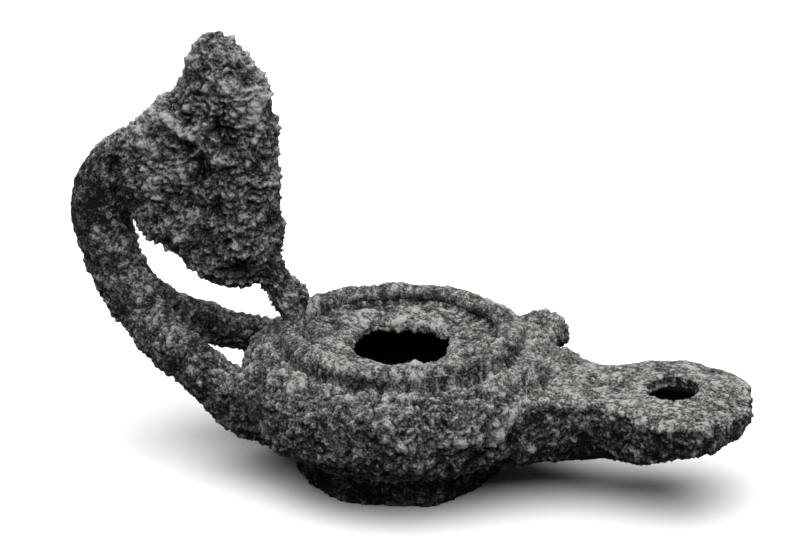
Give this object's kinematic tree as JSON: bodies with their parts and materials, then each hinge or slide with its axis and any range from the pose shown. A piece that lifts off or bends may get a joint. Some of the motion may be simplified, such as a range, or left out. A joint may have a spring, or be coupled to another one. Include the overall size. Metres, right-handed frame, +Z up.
{
  "type": "oil lamp",
  "caption": "Ancient cast bronze oil lamp: hollow round bowl on a low foot, long nozzle with wick hole, forked handle and leaf-shaped shield.",
  "frame": {"origin": "middle of the lamp's own box in plan, on the surface that its foot stands on", "axes": "+Z up, +X along the lamp towards the nozzle, +Y to the left of someone who looks along +X"},
  "size_m": [0.168, 0.0764, 0.1065],
  "materials": {
    "corroded_bronze": "heavily corroded cast bronze, dull dark grey-brown, covered by a rough granular crust of corrosion and soil with paler mineral specks"
  },
  "bodies": {
    "root": {"lamp": "corroded_bronze"}
  },
  "joints": []
}
